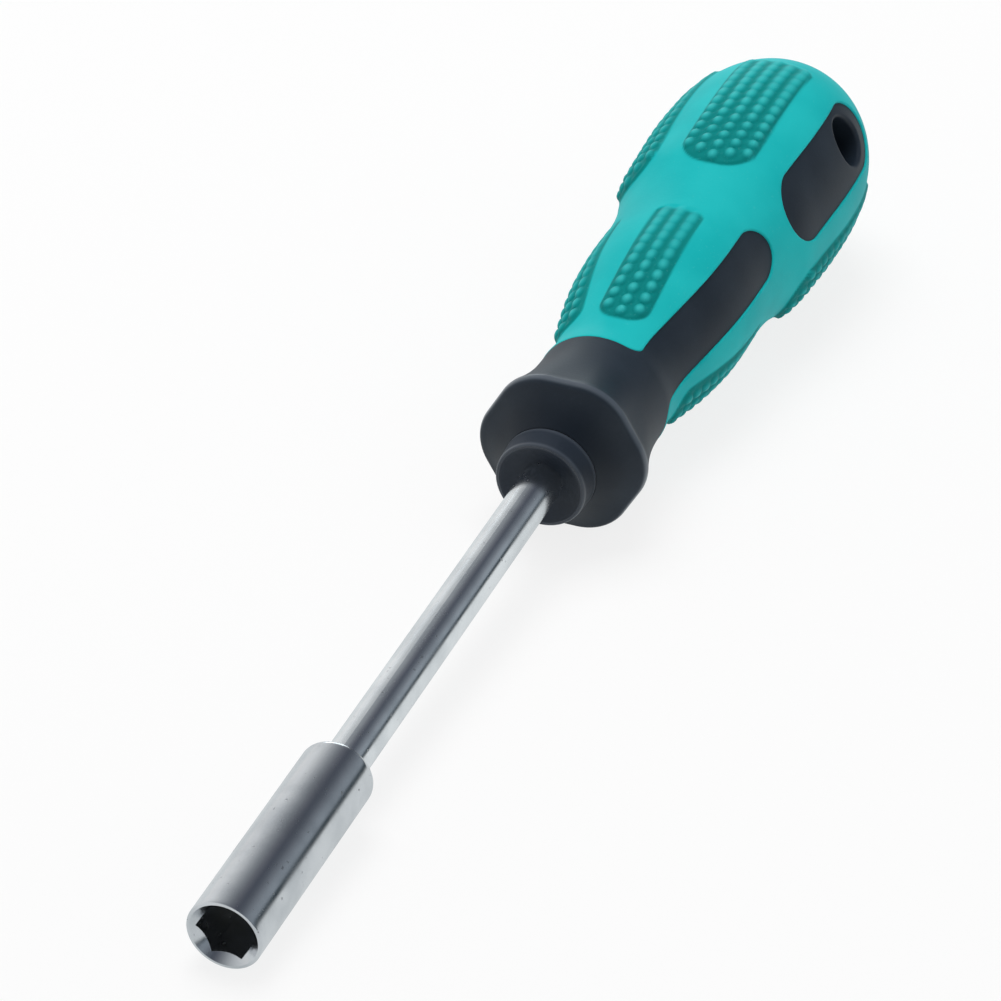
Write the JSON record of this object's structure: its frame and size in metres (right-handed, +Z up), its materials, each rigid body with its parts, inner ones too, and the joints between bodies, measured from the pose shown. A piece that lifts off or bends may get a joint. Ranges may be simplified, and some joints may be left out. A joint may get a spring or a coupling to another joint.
{
  "type": "bit holder screwdriver",
  "caption": "Straight screwdriver with a magnetic hexagon socket for quarter-inch bits on a round bar, and a two-colour moulded handle with nub pads and a hanging hole.",
  "frame": {"origin": "centre of the bit socket's mouth, on the tool's axis", "axes": "+X along the tool's axis out of the mouth, the way a bit leaves; +Z up as the tool lies on a flat of its flange, with one pad of nubs on top; +Y completes the frame"},
  "size_m": [0.2025, 0.0312, 0.0318],
  "materials": {
    "socket_chrome": "bright nickel-chrome plating with fine pits",
    "magnet_nickel": "nickel-plated disc",
    "shaft_chrome": "bright drawn and plated bar",
    "core_plastic": "hard dark plastic, satin",
    "body_plastic": "hard dark blue-grey plastic, fine satin grain",
    "grip_rubber": "soft teal rubber, satin, with pads of round nubs"
  },
  "bodies": {
    "root": {"bit_socket": "socket_chrome", "magnet": "magnet_nickel", "shaft": "shaft_chrome", "inner_core": "core_plastic", "handle_body": "body_plastic", "soft_grip": "grip_rubber"}
  },
  "joints": []
}
